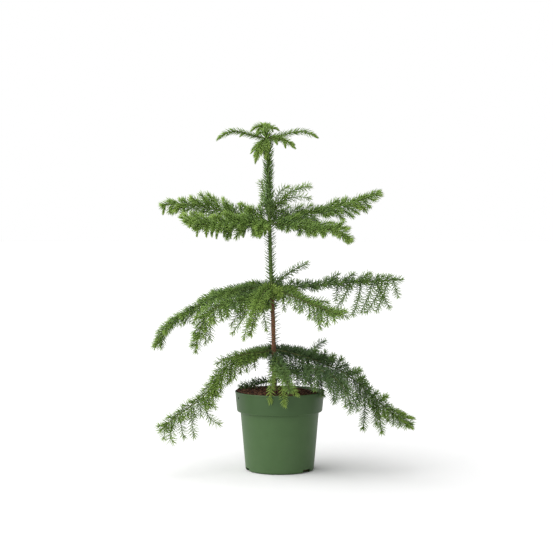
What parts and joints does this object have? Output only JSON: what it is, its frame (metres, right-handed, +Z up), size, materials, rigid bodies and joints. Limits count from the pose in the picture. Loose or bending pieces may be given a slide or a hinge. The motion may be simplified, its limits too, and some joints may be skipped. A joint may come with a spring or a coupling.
{
  "type": "potted norfolk island pine",
  "caption": "Young potted Norfolk Island pine: a slender stem with level tiers of needled boughs that arch and droop, in a tapered green plastic nursery pot of soil.",
  "frame": {"origin": "centre of the pot's flat underside, on the surface it stands on", "axes": "+Z up the stem, +X to the right of the front view, -Y towards the viewer of the front"},
  "size_m": [0.4211, 0.2738, 0.5878],
  "materials": {
    "pot": "satin",
    "soil": "matte",
    "bark": "matte",
    "needles": "satin"
  },
  "bodies": {
    "root": {"bough_base_left": "bark", "bough_base_right": "bark", "bough_low_back": "bark", "bough_low_far": "bark", "bough_low_front": "bark", "bough_low_left": "bark", "bough_low_left_back": "bark", "bough_low_right": "bark", "bough_middle_back": "bark", "bough_middle_back_left": "bark", "bough_middle_back_right": "bark", "bough_middle_front": "bark", "bough_middle_left": "bark", "bough_middle_left_front": "bark", "bough_middle_right": "bark", "bough_middle_right_front": "bark", "bough_upper_back_left": "bark", "bough_upper_back_right": "bark", "bough_upper_front": "bark", "bough_upper_left": "bark", "bough_upper_left_front": "bark", "bough_upper_right": "bark", "bough_upper_right_front": "bark", "pot": "pot", "soil": "soil", "spray_base_left": "needles", "spray_base_right": "needles", "spray_low_back": "needles", "spray_low_far": "needles", "spray_low_front": "needles", "spray_low_left_back": "needles", "spray_low_left_inner": "needles", "spray_low_left_outer": "needles", "spray_low_right_inner": "needles", "spray_low_right_outer": "needles", "spray_middle_back": "needles", "spray_middle_back_left": "needles", "spray_middle_back_right": "needles", "spray_middle_front": "needles", "spray_middle_left_front_inner": "needles", "spray_middle_left_front_outer": "needles", "spray_middle_left_inner": "needles", "spray_middle_left_outer": "needles", "spray_middle_right": "needles", "spray_middle_right_front": "needles", "spray_top_back": "needles", "spray_top_back_right": "needles", "spray_top_front": "needles", "spray_top_left": "needles", "spray_top_right": "needles", "spray_top_right_front": "needles", "spray_upper_back_left": "needles", "spray_upper_back_right": "needles", "spray_upper_front": "needles", "spray_upper_left": "needles", "spray_upper_left_front": "needles", "spray_upper_right": "needles", "spray_upper_right_front": "needles", "trunk": "bark"}
  },
  "joints": []
}
